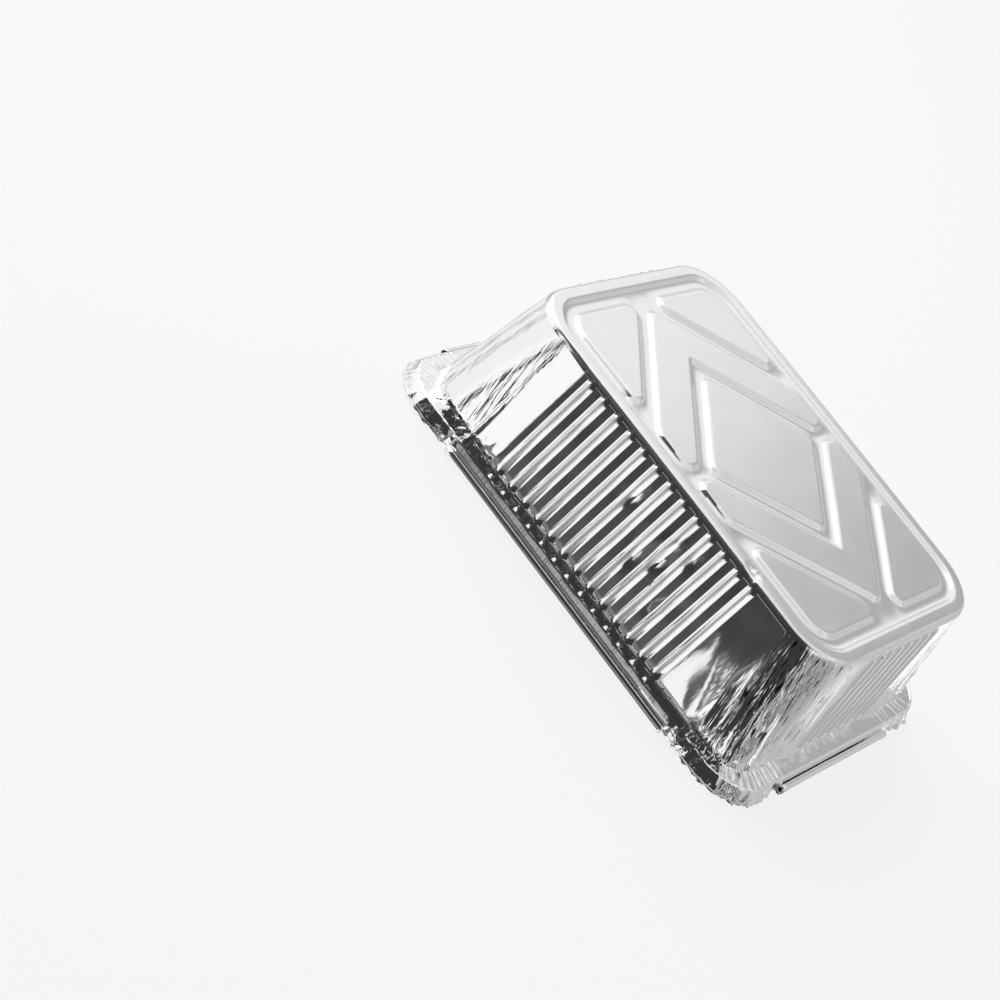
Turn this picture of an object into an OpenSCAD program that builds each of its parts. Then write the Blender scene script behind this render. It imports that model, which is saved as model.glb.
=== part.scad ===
// Foil food container, pressed from one sheet of aluminium foil, turned over on its rim.
// Millimetres. The rim rests on z = 0, the base panel is at z = height, X runs along the length.

/* [Overall size] */
// Length over the rolled rim
rim_l = 218; // [190:1:260]
// Width over the rolled rim
rim_w = 177; // [150:1:220]
// Height from the rim's lowest point to the base panel
height = 62; // [40:1:80]
// Thickness of the foil
foil = 0.1; // [0.08:0.01:0.2]

/* [Base] */
// Length of the base where the wall planes meet its level
base_l = 182; // [160:1:186]
// Width of the base where the wall planes meet its level
base_w = 140; // [120:1:144]
// Corner radius of the base
base_r = 24; // [16:1:28]
// Radius between the base and the wall
fillet_r = 3.5; // [1:0.5:5]

/* [Rim] */
// Width of the flat ledge that the lid sits on
ledge_w = 7; // [3:0.5:9]
// Height of the ledge over the rim's lowest point
lip_h = 6.5; // [4.5:0.5:10]
// How far the lip leans outward over its height
lip_lean = 0.8; // [0:0.1:1.2]
// Corner radius of the lip
rim_r = 22; // [16:1:28]
// Outer diameter of the rolled bead
bead_d = 3.4; // [2.4:0.1:4.2]
// Angle that the rolled bead turns through
bead_turn = 325; // [240:5:335]
// How far the open lip spreads outward at the corners
corner_spread = 2.2; // [0:0.1:2.4]

/* [Ribs] */
// Distance from one rib to the next
rib_pitch = 8.1; // [6:0.1:12]
// Width of a rib at its foot
rib_w = 5.2; // [3:0.1:5.8]
// How far a rib stands out of the wall
rib_h = 1.5; // [0.5:0.1:2.5]
// Length over which a rib rises at each of its ends
rib_ramp = 2; // [1:0.1:5]
// Smooth wall between the last rib and the gathered corner
rib_margin = 15.5; // [8:0.5:30]

/* [Gathered corners] */
// Number of pleats in each corner
pleats = 11; // [6:1:12]
// How far the pleats stand in and out of the wall at the ledge
pleat_h = 1.1; // [0:0.1:1.6]
// Seed of the uneven pleats
pleat_seed = 7; // [1:1:99]

/* [Base grooves] */
// Flat ring between the edge of the base and the outer groove
ring_w = 6; // [3:0.1:10]
// Width of a groove at the base's level
groove_w = 8.6; // [5:0.1:10]
// Width of a groove at its floor
groove_floor = 2.8; // [1:0.1:4]
// Depth of the grooves
groove_depth = 1.3; // [0.4:0.1:2.5]
// Half length of the central diamond, to the middle of its groove
diamond_x = 42.7; // [30:0.1:50]
// Half width of the central diamond, to the middle of its groove
diamond_y = 47.3; // [35:0.1:52]
// Distance along the length between a diamond groove and the chevron groove outside it
chevron_step = 34.3; // [22:0.1:36]
// Radius of the panels' corners
panel_r = 3; // [1:0.1:4]

/* [Hidden] */

arc_facets = 14;
bead_facets = 12;
sliver = 0.01;
reach = 2 * rim_l;

// Half sizes of the wall at the base and at the ledge, and of the lip
bead_r = bead_d / 2;
lip_x = rim_l / 2 - bead_d + foil;
lip_y = rim_w / 2 - bead_d + foil;
fold_x = lip_x - lip_lean;
fold_y = lip_y - lip_lean;
foot_x = fold_x - ledge_w;
foot_y = fold_y - ledge_w;
foot_r = rim_r - ledge_w / 2;

// Half lengths of the straight sides between the gathered corners
side_x = base_l / 2 - base_r;
side_y = base_w / 2 - base_r;

// Ribs that fit on a straight side
function rib_count(half) = max(1, floor((2 * half - 2 * rib_margin - rib_w) / rib_pitch) + 1);

// Share of a rib's height at points across it, from foot to foot
rib_profile = [[-0.5, 0], [-0.12, 1], [0.12, 1], [0.5, 0]];

// Stations along one straight side: [distance from its middle, share of the rib's height]
function side_stations(half) =
    let (n = rib_count(half))
    concat(
        [[-half, 0]],
        [for (i = [0 : n - 1], p = rib_profile)
            [(i - (n - 1) / 2) * rib_pitch + p[0] * rib_w, p[1]]],
        [[half, 0]]);

// Share of the pleats' height at the stations of one corner, in and out by turns and uneven
pleat_stations = 2 * pleats;
function pleat_sizes(corner) = rands(0.35, 1, pleat_stations, pleat_seed + corner);
function corner_stations(corner) =
    let (size = pleat_sizes(corner))
    [for (i = [1 : pleat_stations - 1]) [i / pleat_stations, (i % 2 == 0 ? -1 : 1) * size[i]]];

// The rings that the foil passes through, from the base panel down to the rim's edge:
// [half length, half width, corner radius, z, rib share, pleat share, spread at corners, wave in z]
function wall_ring(z, rib, pleat) =
    let (s = (height - z) / (height - lip_h))
    [base_l / 2 + s * (foot_x - base_l / 2), base_w / 2 + s * (foot_y - base_w / 2),
     base_r + s * (foot_r - base_r), z, rib, pleat, 0, 0];
function base_ring(inset, drop) =
    [base_l / 2 - inset, base_w / 2 - inset, base_r - inset, height - drop, 0, 0, 0, 0];
lip_drop = lip_lean * bead_r / (lip_h - bead_r);
rings = [
    base_ring(fillet_r, 0),
    base_ring(0.29 * fillet_r, 0.29 * fillet_r),
    wall_ring(height - fillet_r, 0, 0),
    wall_ring(height - fillet_r - rib_ramp, 1, 0.15),
    wall_ring((height + lip_h) / 2, 1, 0.5),
    wall_ring(lip_h + rib_ramp, 1, 0.9),
    wall_ring(lip_h, 0, 0.7),
    [fold_x, fold_y, rim_r - lip_lean, lip_h, 0, 0.5, 0, 0.3],
    [lip_x + lip_drop, lip_y + lip_drop, rim_r, 0, 0, 0.8, 1, 0]
];

function turned(k, p) =
    k == 0 ? p : k == 1 ? [-p[1], p[0]] : k == 2 ? [-p[0], -p[1]] : [p[1], -p[0]];

// A point of side k, where t runs along the side and the outside is at -y before turning
function side_point(k, ring, station, inward) =
    let (out = (k % 2 == 0 ? ring[1] : ring[0]) + station[1] * ring[4] * rib_h - inward,
         p = turned(k, [station[0], -out]))
    [p[0], p[1], ring[3] - inward];

// A point of the corner that follows side k: straight, round the arc, and straight again
function corner_point(k, ring, station, inward) =
    let (far = k % 2 == 0 ? ring[0] : ring[1],
         near = k % 2 == 0 ? ring[1] : ring[0],
         a = k % 2 == 0 ? side_x : side_y,
         b = k % 2 == 0 ? side_y : side_x,
         r = ring[2],
         run_a = far - r - a,
         arc = r * PI / 2,
         run_b = near - r - b,
         along = station[0] * (run_a + arc + run_b),
         angle = max(0, min(90, (along - run_a) / r * 180 / PI)),
         normal = [sin(angle), -cos(angle)],
         start = min(along, run_a),
         end = max(0, along - run_a - arc),
         at = [a + start + (angle > 0 ? r * sin(angle) : 0),
               -near + (angle > 0 ? r * (1 - cos(angle)) : 0) + end],
         spread = ring[6] * corner_spread * min(1, 4 * min(station[0], 1 - station[0])),
         out = station[1] * ring[5] * pleat_h + spread - inward,
         p = turned(k, at + out * normal))
    [p[0], p[1], ring[3] + station[1] * ring[7] - inward];

function ring_points(ring, inward) = [
    for (k = [0 : 3]) each concat(
        [for (s = side_stations(k % 2 == 0 ? side_x : side_y)) side_point(k, ring, s, inward)],
        [for (s = corner_stations(k)) corner_point(k, ring, s, inward)])
];

// The solid inside one face of the foil: inward is 0 for the outer face and foil for the inner
module body(inward) {
    loops = [for (r = rings) ring_points(r, inward)];
    n = len(loops[0]);
    m = len(loops);
    mouth = [for (p = loops[m - 1]) [p[0], p[1], -inward * 10]];
    points = [for (i = [0 : m - 2]) each loops[i], each mouth];
    skin = [
        for (i = [0 : m - 2], j = [0 : n - 1])
            let (a = i * n + j, b = i * n + (j + 1) % n)
            each [[a, b, b + n], [a, b + n, a + n]]
    ];
    top = [[for (j = [n - 1 : -1 : 0]) j]];
    bottom = [[for (j = [0 : n - 1]) (m - 1) * n + j]];
    polyhedron(points = points, faces = concat(skin, top, bottom), convexity = 10);
}

// Middle lines of the grooves in the base
loop_inset = ring_w + groove_w / 2;
loop_x = base_l / 2 - loop_inset;
loop_y = base_w / 2 - loop_inset;
loop_r = base_r - loop_inset;
groove_run = (groove_w - groove_floor) / 2;
chevron_x = diamond_x + chevron_step;
chevron_end = chevron_x - loop_y * diamond_x / diamond_y;

module rounded_field(x, y, r) {
    hull() for (sx = [-1, 1], sy = [-1, 1])
        translate([sx * (x - r), sy * (y - r)]) circle(r = r, $fn = 2 * arc_facets);
}

// One flat panel between grooves, with sloped sides: the child is its outline on middle lines
module panel() {
    core = groove_floor / 2 + groove_run + panel_r;
    hull() {
        translate([0, 0, height - groove_depth - sliver]) linear_extrude(sliver)
            offset(r = panel_r + groove_run, $fn = arc_facets) offset(delta = -core) children();
        translate([0, 0, height - sliver]) linear_extrude(sliver)
            offset(r = panel_r, $fn = arc_facets) offset(delta = -core) children();
    }
}

// Half of a chevron panel, cut along the middle of the base, so that it stays convex
module half_chevron_panel() {
    core = groove_floor / 2 + groove_run + panel_r;
    outline = [[chevron_x, 0], [chevron_end, loop_y], [0, loop_y], [0, diamond_y], [diamond_x, 0],
               [0, -diamond_y], [0, -loop_y], [chevron_end, -loop_y]];
    hull() for (level = [0, 1])
        translate([0, 0, height - (1 - level) * groove_depth - sliver]) linear_extrude(sliver)
            intersection() {
                offset(r = panel_r + (1 - level) * groove_run, $fn = arc_facets)
                    offset(delta = -core) polygon(outline);
                translate([0, -sliver]) square(reach);
            }
}

module panels() {
    panel() polygon([[diamond_x, 0], [0, diamond_y], [-diamond_x, 0], [0, -diamond_y]]);
    for (mx = [0, 1], my = [0, 1]) mirror([mx, 0, 0]) mirror([0, my, 0]) {
        half_chevron_panel();
        panel() intersection() {
            rounded_field(loop_x, loop_y, loop_r);
            polygon([[chevron_x, 0], [loop_x, 0], [loop_x, loop_y], [chevron_end, loop_y]]);
        }
    }
}

// The sunk field that the grooves share, open at the top
module sunk_field() {
    half = groove_w / 2;
    rise = groove_depth + 1;
    spread = groove_run * rise / groove_depth;
    hull() {
        translate([0, 0, height - groove_depth]) linear_extrude(sliver)
            rounded_field(loop_x + half - groove_run, loop_y + half - groove_run,
                          loop_r + half - groove_run);
        translate([0, 0, height - groove_depth + rise]) linear_extrude(sliver)
            rounded_field(loop_x + half - groove_run + spread, loop_y + half - groove_run + spread,
                          loop_r + half - groove_run + spread);
    }
}

// The tray as a solid, for one face of the foil
module tray(inward) {
    difference() {
        body(inward);
        translate([0, 0, -inward]) sunk_field();
    }
    translate([0, 0, -inward]) panels();
}

// Section of the rolled bead: a stub up the lip, then round under the rim and back over
module bead_section() {
    stub = bead_r / 3;
    steps = [for (i = [0 : bead_facets]) 180 + bead_turn * i / bead_facets];
    translate([-bead_r, bead_r]) polygon(concat(
        [[-bead_r, stub]],
        [for (a = steps) bead_r * [cos(a), sin(a)]],
        [for (i = [bead_facets : -1 : 0]) (bead_r - foil) * [cos(steps[i]), sin(steps[i])]],
        [[-bead_r + foil, stub]]));
}

// Moves what is drawn at the origin, for a rim at x = 0, out to the rim of side k
module on_side(k) {
    rotate([0, 0, k * 90 - 90]) translate([k % 2 == 0 ? rim_w / 2 : rim_l / 2, 0, 0]) children();
}

module bead(k) {
    half = k % 2 == 0 ? side_x : side_y;
    on_side(k) translate([0, half, 0]) rotate([90, 0, 0])
        linear_extrude(2 * half) bead_section();
}

// The strip of lip below the bead's middle, which the roll takes up on the straight sides
module rolled_strip(k) {
    half = k % 2 == 0 ? side_x : side_y;
    on_side(k) translate([-bead_d - 1, -half, -1]) cube([bead_d + 2, 2 * half, bead_r + 1]);
}

module container() {
    color("silver") union() {
        difference() {
            tray(0);
            tray(foil);
            for (k = [0 : 3]) rolled_strip(k);
        }
        for (k = [0 : 3]) bead(k);
    }
}

container();
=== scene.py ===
"""Foil food container, turned over on its rim: its finished skin, lights and camera around the frame."""
import math

import bpy
import numpy as np
from mathutils import Matrix, Vector
from mathutils.geometry import delaunay_2d_cdt


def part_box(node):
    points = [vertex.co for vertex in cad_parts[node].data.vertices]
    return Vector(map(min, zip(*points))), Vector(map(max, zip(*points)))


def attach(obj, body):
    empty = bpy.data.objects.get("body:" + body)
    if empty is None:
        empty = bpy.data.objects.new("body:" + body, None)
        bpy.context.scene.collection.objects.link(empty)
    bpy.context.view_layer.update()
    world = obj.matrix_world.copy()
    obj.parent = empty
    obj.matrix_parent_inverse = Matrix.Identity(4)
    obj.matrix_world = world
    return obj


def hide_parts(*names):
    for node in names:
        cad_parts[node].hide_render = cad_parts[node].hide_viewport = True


MM = 0.001

# Sizes of the container in millimetres: the solid's own, apart from the sharper fillet, the finer
# ribs and the corners' smaller spread, which are the photograph's. With ribs this narrow an eighth
# fits on each short side, where the solid and the photograph have seven.
HALF_RIM = (109.0, 88.5)
BASE_L, BASE_W, BASE_R = 182.0, 140.0, 24.0
FILLET_R = 2.2
LEDGE_W, LIP_H, LIP_LEAN, RIM_R = 7.0, 6.5, 0.8, 22.0
BEAD_D, BEAD_TURN = 3.4, 325.0
CORNER_SPREAD = 1.7
FOIL = 0.1
BEAD_LIP = (HALF_RIM[0] - BEAD_D + FOIL, HALF_RIM[1] - BEAD_D + FOIL)
RIB_PITCH, RIB_W, RIB_H, RIB_MARGIN = 8.1, 4.3, 1.08, 15.5
# Half the width of a rib's blunt top, and how the ribs end below the base and above the ledge
RIB_CROWN = 0.42
RIB_TOP_GAP, RIB_TOP_RUN, RIB_FOOT_GAP, RIB_FOOT_RUN = 2.2, 1.6, 0.4, 3.6
RING_W, GROOVE_W, GROOVE_FLOOR, GROOVE_DEPTH = 6.0, 8.6, 2.8, 1.3
DIAMOND_X, DIAMOND_Y, CHEVRON_STEP = 42.7, 47.3, 34.3
# The panels' corner radius, and how softly the sides of two grooves meet
PANEL_R, CHEVRON_BLEND = 3.0, 1.0
# How far the middle of the base stands above its edge, and over how much of the height that is felt
CROWN, CROWN_RUN = 0.9, 22.0
# Folds sharper than this many degrees stay sharp in the shading
SHARP_FROM = 34.0
# The length that each corner takes in the distance round the wall
CORNER_RUN = 48.0

# Where the near long wall and the right short wall draw in towards a corner, and how steeply
EASE_FROM, EASE_SLOPE = 53.4, 0.085
SHORT_EASE_FROM, SHORT_EASE_SLOPE = 32.0, 0.07

# How far the pleats lean as they rise, how far they reach beside the near corners and the far ones,
# where they start in the near right corner, and how strong they are in each corner
LEAN = 0.18
NEAR_REACH, FAR_REACH = 2.0, 11.0
CRINKLED_FROM = 0.04
CORNER_SIZES = (1.0, 0.7, 0.75, 0.3)

# The fan of folds that spreads over the near long wall from the foot of its right corner:
# angle from the ledge in degrees, and distance out of the wall as a share of the distance from there
FAN_AT = (73.0, 6.0)
FAN = ((50, 0.0), (61, 0.003), (70, 0.0), (77, 0.003), (86, 0.0))

# Short creases at the foot of the near long wall's left end: from and to along x, and how many
WRINKLES_FROM, WRINKLES_TO, WRINKLES = -69.0, -54.0, 9

# Small dents in the near long wall: x and z of the middle, reach along and up, lean and depth
DIMPLES = (
    (-66.3, 50, 1.1, 3.0, 0.25, 0.40),
    (-7.4, 44, 1.9, 4.5, 0.3, 0.60),
    (8.8, 32, 1.8, 5.0, -0.3, 0.55),
    (15.4, 43, 2.2, 4.0, 0.4, -0.50),
    (17.2, 36, 1.6, 3.6, 0.4, 0.70),
    (24.9, 49, 1.7, 3.6, -0.3, 0.60),
    (32.0, 27, 1.8, 5.0, 0.3, 0.45),
)

# Where the near side of the loop groove drops steeply: from and to along x
STEEP_PLACES = ((-20.5, -6.5), (5.5, 20.5))

# Small crumpled places that handling has left in the base: middle, reach and depth
DENTS = (
    ((44.0, -66.5), 3.6, 1.2),
    ((-39.0, -58.0), 1.6, 0.6),
)

# How far each kind of fold moves the foil on the wall
COARSE_FOLD, MEDIUM_FOLD, FINE_FOLD, TOOTH_FOLD = 0.70, 0.45, 0.30, 0.42
SOFT_WAVE, SMALL_WAVE = 0.30, 0.12

# Rows and stations of the mesh: angles down the fillet, drops below it, shares across the ledge,
# shares and heights of its fold, steps round the bead, and stations in each corner
FILLET_ANGLES = (0, 25, 50, 72)
WALL_DROPS = (0, 0.5, 1.1, 1.9, 3.0, 4.5, 6.5)
LEDGE_SHARES = (0.02, 0.3, 0.6, 0.86)
LEDGE_FOLDS = ((0.89, 0.32), (0.98, 0.12))
BEAD_STEPS, BEAD_EVERY = 12, 4
CORNER_STATIONS = (116, 60, 56, 76)

# The mesh of the base: offsets of the rows along each groove, and the distances between points
GROOVE_ROWS = (-0.8, 0.0, 0.7, 1.45, 2.2, 2.9)
ROW_STEP, FLAT_STEP, DENT_STEP, LEAST_STEP = 1.7, 5.0, 0.8, 0.42

SEED = 11


def smooth(x):
    """Rises from 0 to 1 as x does, level at both ends."""
    x = np.clip(x, 0.0, 1.0)
    return x * x * (3 - 2 * x)


def noise(x, y, seed, size):
    """Smooth random numbers from -1 to 1 over a plane, with features about size wide."""
    table = np.random.default_rng(seed).uniform(-1, 1, (128, 128))
    x, y = np.asarray(x, float) / size + 37.3, np.asarray(y, float) / size + 61.7
    column, row = np.floor(x).astype(int), np.floor(y).astype(int)
    fx, fy = smooth(x - column), smooth(y - row)

    def corner(i, j):
        return table[(column + i) % 128, (row + j) % 128]

    near = corner(0, 0) * (1 - fx) + corner(1, 0) * fx
    far = corner(0, 1) * (1 - fx) + corner(1, 1) * fx
    return near * (1 - fy) + far * fy


class Skin:
    """The foil's outer face: points in millimetres and faces, later one closed sheet."""

    def __init__(self):
        self.points = []
        self.faces = []
        self.way = []

    def add(self, points, way=None):
        """Adds points; way holds the distance round and up the wall, how gathered and how worn it is."""
        first = len(self.points)
        self.points.extend(map(tuple, points))
        self.way.extend(map(tuple, np.zeros((len(points), 4)) if way is None else way))
        return np.arange(first, len(self.points))

    def strip(self, lower, upper):
        for a, b, c, d in zip(lower[:-1], lower[1:], upper[1:], upper[:-1]):
            self.faces.append((a, b, c, d))


# Stations round the container

def rib_places(half):
    count = int((2 * half - 2 * RIB_MARGIN - RIB_W) / RIB_PITCH) + 1
    return [(i - (count - 1) / 2) * RIB_PITCH for i in range(count)]


def side_stations(half):
    """Distances along a straight side from its middle, close together where the ribs are."""
    step_out = (0.18, 0.42, 0.85, 1.4, RIB_W / 2, RIB_W / 2 + 0.35)
    across = [-step for step in reversed(step_out)] + list(step_out)
    ribs = rib_places(half)
    inner = [place + step for place in ribs for step in across]
    end = ribs[-1] + across[-1]
    count = 20 if half > 50 else 16
    plain = list(np.linspace(end, half, count)[1:])
    return np.array(sorted([-p for p in plain] + inner + plain))


SIDE_X, SIDE_Y = BASE_L / 2 - BASE_R, BASE_W / 2 - BASE_R


def stations():
    """All the way round: the side or corner, the place on it, and the distance from the start."""
    found = []
    start = 0.0
    for k in range(4):
        half = (SIDE_X, SIDE_Y)[k % 2]
        for t in side_stations(half):
            found.append((k, False, t, start + half + t))
        for i in range(1, CORNER_STATIONS[k]):
            share = i / CORNER_STATIONS[k]
            found.append((k, True, share, start + 2 * half + share * CORNER_RUN))
        start += 2 * half + CORNER_RUN
    return found


def outline(places, half_l, half_w, radius, out):
    """Points on the rounded rectangle at the stations, each moved outward by its own distance."""
    points, normals = [], []
    for (k, corner, place, _), push in zip(places, out):
        far, near = (half_l, half_w) if k % 2 == 0 else (half_w, half_l)
        a, b = (SIDE_X, SIDE_Y) if k % 2 == 0 else (SIDE_Y, SIDE_X)
        if corner:
            run_a, run_b, arc = far - radius - a, near - radius - b, radius * math.pi / 2
            along = place * (run_a + arc + run_b)
            angle = min(max((along - run_a) / radius, 0.0), math.pi / 2)
            normal = (math.sin(angle), -math.cos(angle))
            x = a + min(along, run_a) + radius * math.sin(angle)
            y = -near + radius * (1 - math.cos(angle)) + max(0.0, along - run_a - arc)
        else:
            normal = (0.0, -1.0)
            x, y = place, -near
        x, y = x + push * normal[0], y + push * normal[1]
        for _ in range(k):
            x, y = -y, x
            normal = (-normal[1], normal[0])
        points.append((x, y))
        normals.append(normal)
    return np.array(points), np.array(normals)


# What the press and the handling leave in the foil

def corner_weight(places, reach=None):
    """1 in the corners, falling to 0 along the plain wall beside them, less far on the near side."""
    weight = []
    for k, corner, place, _ in places:
        half = (SIDE_X, SIDE_Y)[k % 2]
        own = reach or (NEAR_REACH if k == 0 else FAR_REACH)
        if corner:
            weight.append(1.0 if k or reach else (place - CRINKLED_FROM) / 0.07)
        else:
            weight.append(0.0 if k == 0 and place > 0 and not reach else 1.0 - (half - abs(place)) / own)
    return smooth(np.array(weight))


def eased(t, bend):
    """Rises from 0 to 1 in a straight line that bends in and out over the share given."""
    t = min(max(t, 0.0), 1.0)
    if t < bend:
        return t * t / (2 * bend * (1 - bend))
    if t > 1 - bend:
        return 1 - (1 - t) ** 2 / (2 * bend * (1 - bend))
    return (t - bend / 2) / (1 - bend)


def rib_height(places, z, height):
    """How far the ribs stand out at each station at height z: ridges with blunt tops."""
    half = RIB_W / 2
    past_top = max(0.0, z - (height - RIB_TOP_GAP - RIB_TOP_RUN)) / RIB_TOP_RUN
    past_foot = max(0.0, LIP_H + RIB_FOOT_GAP + RIB_FOOT_RUN - z) / RIB_FOOT_RUN
    past_end = max(past_top, past_foot)
    out = np.zeros(len(places))
    for i, (k, corner, place, run) in enumerate(places):
        if corner:
            continue
        near = min(rib_places((SIDE_X, SIDE_Y)[k % 2]), key=lambda rib: abs(rib - place))
        wander = 0.05 * float(noise(near + 53 * k, z, SEED + 4, 15.0))
        away = (abs((place - near + wander) / half) ** 2.2 + past_end ** 2.2) ** (1 / 2.2)
        if away < 1:
            uneven = 1 + 0.12 * float(noise(near + 53 * k, z, SEED + 3, 9.0))
            out[i] = RIB_H * uneven * eased((1 - away) / (1 - RIB_CROWN / half), 0.26)
    return out


class Pleats:
    """Sharp folds across the foil at uneven distances, each with its own size and length."""

    def __init__(self, length, spacing, seed, wander, narrow=0.5):
        random = np.random.default_rng(seed)
        count = 2 * int(length / spacing / 2 * 1.2)
        sides = np.where(np.arange(count) % 2, narrow, 1 - narrow)
        self.nodes = np.cumsum(random.uniform(0.6, 1.5, count) * sides * 2 * spacing)
        self.sizes = random.uniform(0.35, 1.0, count) * np.where(np.arange(count) % 2, -1, 1)
        self.ends = random.uniform(0.15, 1.15, count)
        self.seed = seed
        self.wander = wander

    def at(self, run, share):
        """Distance moved at the stations' run, where share is 0 at the ledge and 1 at the base."""
        shift = self.wander * noise(run, np.full(len(run), share * 60), self.seed + 1, 14.0)
        sizes = self.sizes * np.clip((self.ends - share) / 0.25, 0, 1)
        return np.interp(run + shift + LEAN * 55 * share, self.nodes, sizes)


class Wall:
    """The foil from the base's edge down over the wall, the ledge and the lip."""

    def __init__(self, height):
        self.height = height
        self.places = stations()
        self.run = np.array([place[3] for place in self.places])
        total = self.run[-1] + 20
        self.coarse = Pleats(total, 4.6, SEED, 2.2)
        self.medium = Pleats(total, 2.4, SEED + 20, 1.6)
        self.fine = Pleats(total, 1.5, SEED + 40, 0.8)
        self.teeth = Pleats(total, 1.5, SEED + 60, 2.6, 0.24)
        self.corner = corner_weight(self.places)
        self.tight = corner_weight(self.places, 2.5)
        self.long = np.array([1.0 - place[0] % 2 for place in self.places])
        self.size = np.array([self.corner_size(place) for place in self.places])
        self.toothed = np.array([self.tooth_weight(place) for place in self.places])
        self.lip_x = BEAD_LIP[0]
        self.lip_y = BEAD_LIP[1]
        self.foot_x = self.lip_x - LIP_LEAN - LEDGE_W
        self.foot_y = self.lip_y - LIP_LEAN - LEDGE_W
        self.foot_r = RIM_R - LEDGE_W / 2

    @staticmethod
    def corner_size(place):
        """The strength of the pleats: each corner has its own, which reaches over the plain wall."""
        k, corner, along, _ = place
        size = CORNER_SIZES[k if corner or along > 0 else (k + 3) % 4]
        if k == 3 and corner:
            size *= 1 - 0.65 * float(smooth((along - 0.6) / 0.15))
        return size

    @staticmethod
    def tooth_weight(place):
        """Where the near right corner is crumpled into fine teeth."""
        k, corner, along, _ = place
        if k or not corner:
            return 0.0
        return float(smooth((along - 0.09) / 0.07) * smooth((0.50 - along) / 0.14))

    def easing(self, s):
        """How far the wall draws in towards the near left and the near right corner at drop s."""
        straight = s * (self.foot_x - self.foot_r - SIDE_X)
        length = 2 * straight + math.pi / 2 * (BASE_R + s * (self.foot_r - BASE_R))
        drawn = []
        for k, corner, along, _ in self.places:
            near_end = along < 0 and not corner
            if k == 3 and corner:
                past = (1 - along) * length
                most = (SIDE_X - EASE_FROM + min(past, straight)) * EASE_SLOPE
                drawn.append(most * float(smooth(1 - (past - straight) / (0.55 * length))))
            elif k == 0 and corner:
                drawn.append((SIDE_Y - SHORT_EASE_FROM) * SHORT_EASE_SLOPE * float(smooth(2 * along - 1)))
            elif k == 0 and near_end:
                drawn.append(max(0.0, -along - EASE_FROM) * EASE_SLOPE)
            elif k == 1 and near_end:
                drawn.append(max(0.0, -along - SHORT_EASE_FROM) * SHORT_EASE_SLOPE)
            else:
                drawn.append(0.0)
        return np.array(drawn)

    def fan(self, z):
        """The folds that spread over the near long wall from its right corner."""
        start = self.run[0] + SIDE_X
        across = FAN_AT[0] - (self.run - start)
        up = z - FAN_AT[1]
        away = np.hypot(across, up)
        angle = np.degrees(np.arctan2(up, across))
        share = np.interp(angle, [knot[0] for knot in FAN], [knot[1] for knot in FAN])
        fade = smooth(away / 6) * (1 - smooth((away - 32) / 14)) * smooth((self.run - start - 45) / 6)
        return share * away * fade

    def wrinkles(self, z):
        """Short creases at the foot of the near long wall's left end, and a dimple above them."""
        place = self.run - self.run[0] - SIDE_X
        out = np.zeros(len(place))
        random = np.random.default_rng(SEED + 70)
        for x in np.linspace(WRINKLES_FROM, WRINKLES_TO, WRINKLES):
            start = (x + random.uniform(-0.8, 0.8), LIP_H + random.uniform(0.5, 3.0))
            turn = math.radians(random.uniform(38, 62))
            length, size = random.uniform(3, 9), random.uniform(0.12, 0.26)
            along = (place - start[0]) * math.cos(turn) + (z - start[1]) * math.sin(turn)
            aside = (place - start[0]) * math.sin(turn) - (z - start[1]) * math.cos(turn)
            crease = size * np.clip(1 - np.abs(aside) / 0.9, 0, 1) * smooth(along)
            out += crease * smooth((length - along) / length)
        for x, middle, reach, rise, lean, size in DIMPLES:
            across = place - x - lean * (z - middle)
            near = (np.abs(place) < SIDE_X + 4) & (self.run < self.run[0] + 2 * SIDE_X + 6)
            out -= size * near * np.exp(-(across / reach) ** 2 - ((z - middle) / rise) ** 2)
        return out

    def ring(self, half_l, half_w, radius, z, out, rise):
        points, _ = outline(self.places, half_l, half_w, radius, out)
        return np.column_stack([points, np.full(len(points), z) + rise])

    def fillet_row(self, angle):
        """The rounded edge between the base and the wall, at an angle down from the base."""
        inset = FILLET_R * (1 - math.sin(angle))
        z = self.height - FILLET_R * (1 - math.cos(angle))
        share = math.sin(angle)
        out = 0.10 * share * self.corner * self.size * self.coarse.at(self.run, 0.9)
        out = out - self.easing(0.0) * share ** 3
        return self.ring(BASE_L / 2 - inset, BASE_W / 2 - inset, BASE_R - inset, z, out, 0)

    def wall_row(self, z):
        """The wall at height z, with its ribs, pleats, folds, wrinkles and dents."""
        s = (self.height - z) / (self.height - LIP_H)
        share = 1 - s
        half_l = BASE_L / 2 + s * (self.foot_x - BASE_L / 2)
        half_w = BASE_W / 2 + s * (self.foot_y - BASE_W / 2)
        radius = BASE_R + s * (self.foot_r - BASE_R)
        gather = 0.18 + 0.82 * s ** 0.8
        pleat = COARSE_FOLD * self.coarse.at(self.run, share)
        pleat = pleat + MEDIUM_FOLD * self.medium.at(self.run, share * 1.1)
        pleat = pleat + FINE_FOLD * (0.4 + 0.6 * s) * self.fine.at(self.run, share * 1.3)
        level = np.full(len(self.run), z)
        soft = noise(self.run, level, SEED + 5, 9.0) * SOFT_WAVE
        soft = soft + noise(self.run, level, SEED + 6, 5.0) * SMALL_WAVE
        out = rib_height(self.places, z, self.height) - self.easing(s) + self.fan(z) + self.wrinkles(z)
        out = out + gather * self.corner * self.size * (1 - 0.6 * self.toothed) * pleat
        out = out + TOOTH_FOLD * self.toothed * (0.45 + 0.55 * s) * self.teeth.at(self.run, 0.7 * share)
        out = out + soft * (0.12 + 0.8 * self.corner * self.size * s)
        return self.ring(half_l, half_w, radius, z, out, 0)

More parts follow.
